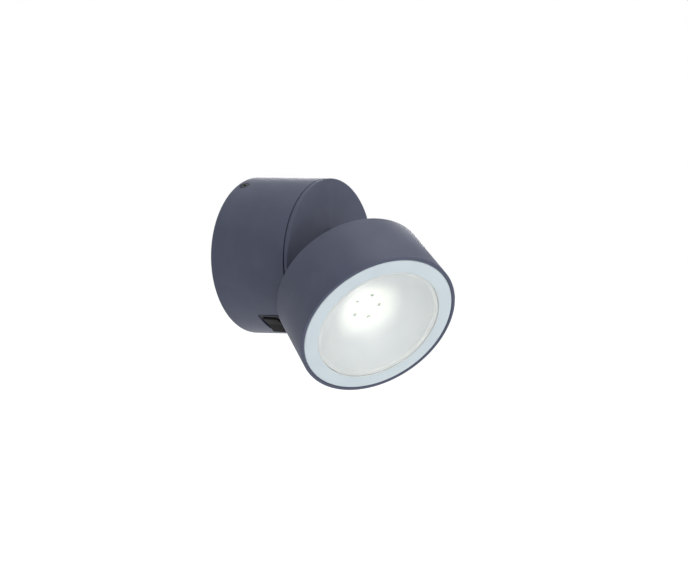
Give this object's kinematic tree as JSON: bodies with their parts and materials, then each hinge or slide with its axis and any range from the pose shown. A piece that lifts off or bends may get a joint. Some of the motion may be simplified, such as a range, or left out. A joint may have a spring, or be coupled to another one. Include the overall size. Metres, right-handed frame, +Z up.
{
  "type": "pivoting spotlight wall light",
  "caption": "Round wall spotlight: a drum base with a rocker switch, a swivel disc and a round lamp head that turns and tilts on a hinge.",
  "frame": {"origin": "centre of the wall plate's back face, where the light meets the wall", "axes": "+Z up, -Y out of the wall into the room along the base drum's axis, +X to the right seen from the room"},
  "size_m": [0.1218, 0.1378, 0.128],
  "materials": {
    "body_paint": "matt anthracite powder coat on die-cast aluminium",
    "hinge_metal": "painted cast hinge parts",
    "plated_steel": "zinc plated",
    "black_steel": "blackened spring steel",
    "black_plastic": "moulded, fine satin",
    "rubber": "matt",
    "pale_plastic": "moulded nylon",
    "driver_case": "moulded, satin",
    "brass": "tinned and plain brass",
    "slide_plastic": "slippery moulded washer",
    "lead": "pale insulation on flexible wires",
    "thermal_pad": "soft filled silicone",
    "board": "white solder mask on aluminium",
    "emitter": "phosphor face, lit warm white",
    "holder": "white moulded",
    "reflector": "satin vacuum-metallised",
    "ring": "pale blue-white satin",
    "glass": "clear, polished"
  },
  "bodies": {
    "base": {"base_housing": "body_paint", "wall_plate": "plated_steel", "cable_grommet": "rubber", "housing_screws": "black_steel", "terminal_block": "pale_plastic", "terminal_screws": "brass", "driver": "driver_case", "driver_screws": "plated_steel", "earth_screw": "brass", "driver_lead": "lead", "switch_leads": "lead", "switch_body": "black_plastic", "switch_terminals": "brass", "thrust_washer": "slide_plastic"},
    "swivel": {"swivel_disc": "body_paint", "tilt_cap_right": "hinge_metal", "tilt_cap_left": "hinge_metal", "cap_screws": "black_steel", "spring_washer": "black_steel", "retaining_ring": "black_steel", "stop_pin": "plated_steel"},
    "head": {"neck": "hinge_metal", "neck_screws": "black_steel", "tilt_washers": "slide_plastic", "head_housing": "body_paint", "led_lead": "lead", "thermal_pad": "thermal_pad", "led_board": "board", "led_emitter": "emitter", "led_holder": "holder", "holder_screws": "plated_steel", "reflector": "reflector", "front_ring": "ring", "front_glass": "glass"},
    "rocker": {"switch_rocker": "black_plastic"}
  },
  "joints": [
    {"name": "head_pan", "type": "hinge", "parent": "base", "child": "swivel", "pos_m": [0, -0.0519, 0], "axis": [0, -1, 0], "range_deg": [-133.8, 206.2]},
    {"name": "head_tilt", "type": "hinge", "parent": "swivel", "child": "head", "pos_m": [0, -0.055, 0], "axis": [0.807, 0, -0.5906], "range_deg": [-43.5, 6.5]},
    {"name": "switch_press", "type": "hinge", "parent": "base", "child": "rocker", "pos_m": [-0.02372, -0.031, -0.03753], "axis": [0, -1, 0], "range_deg": [0, 14]}
  ]
}
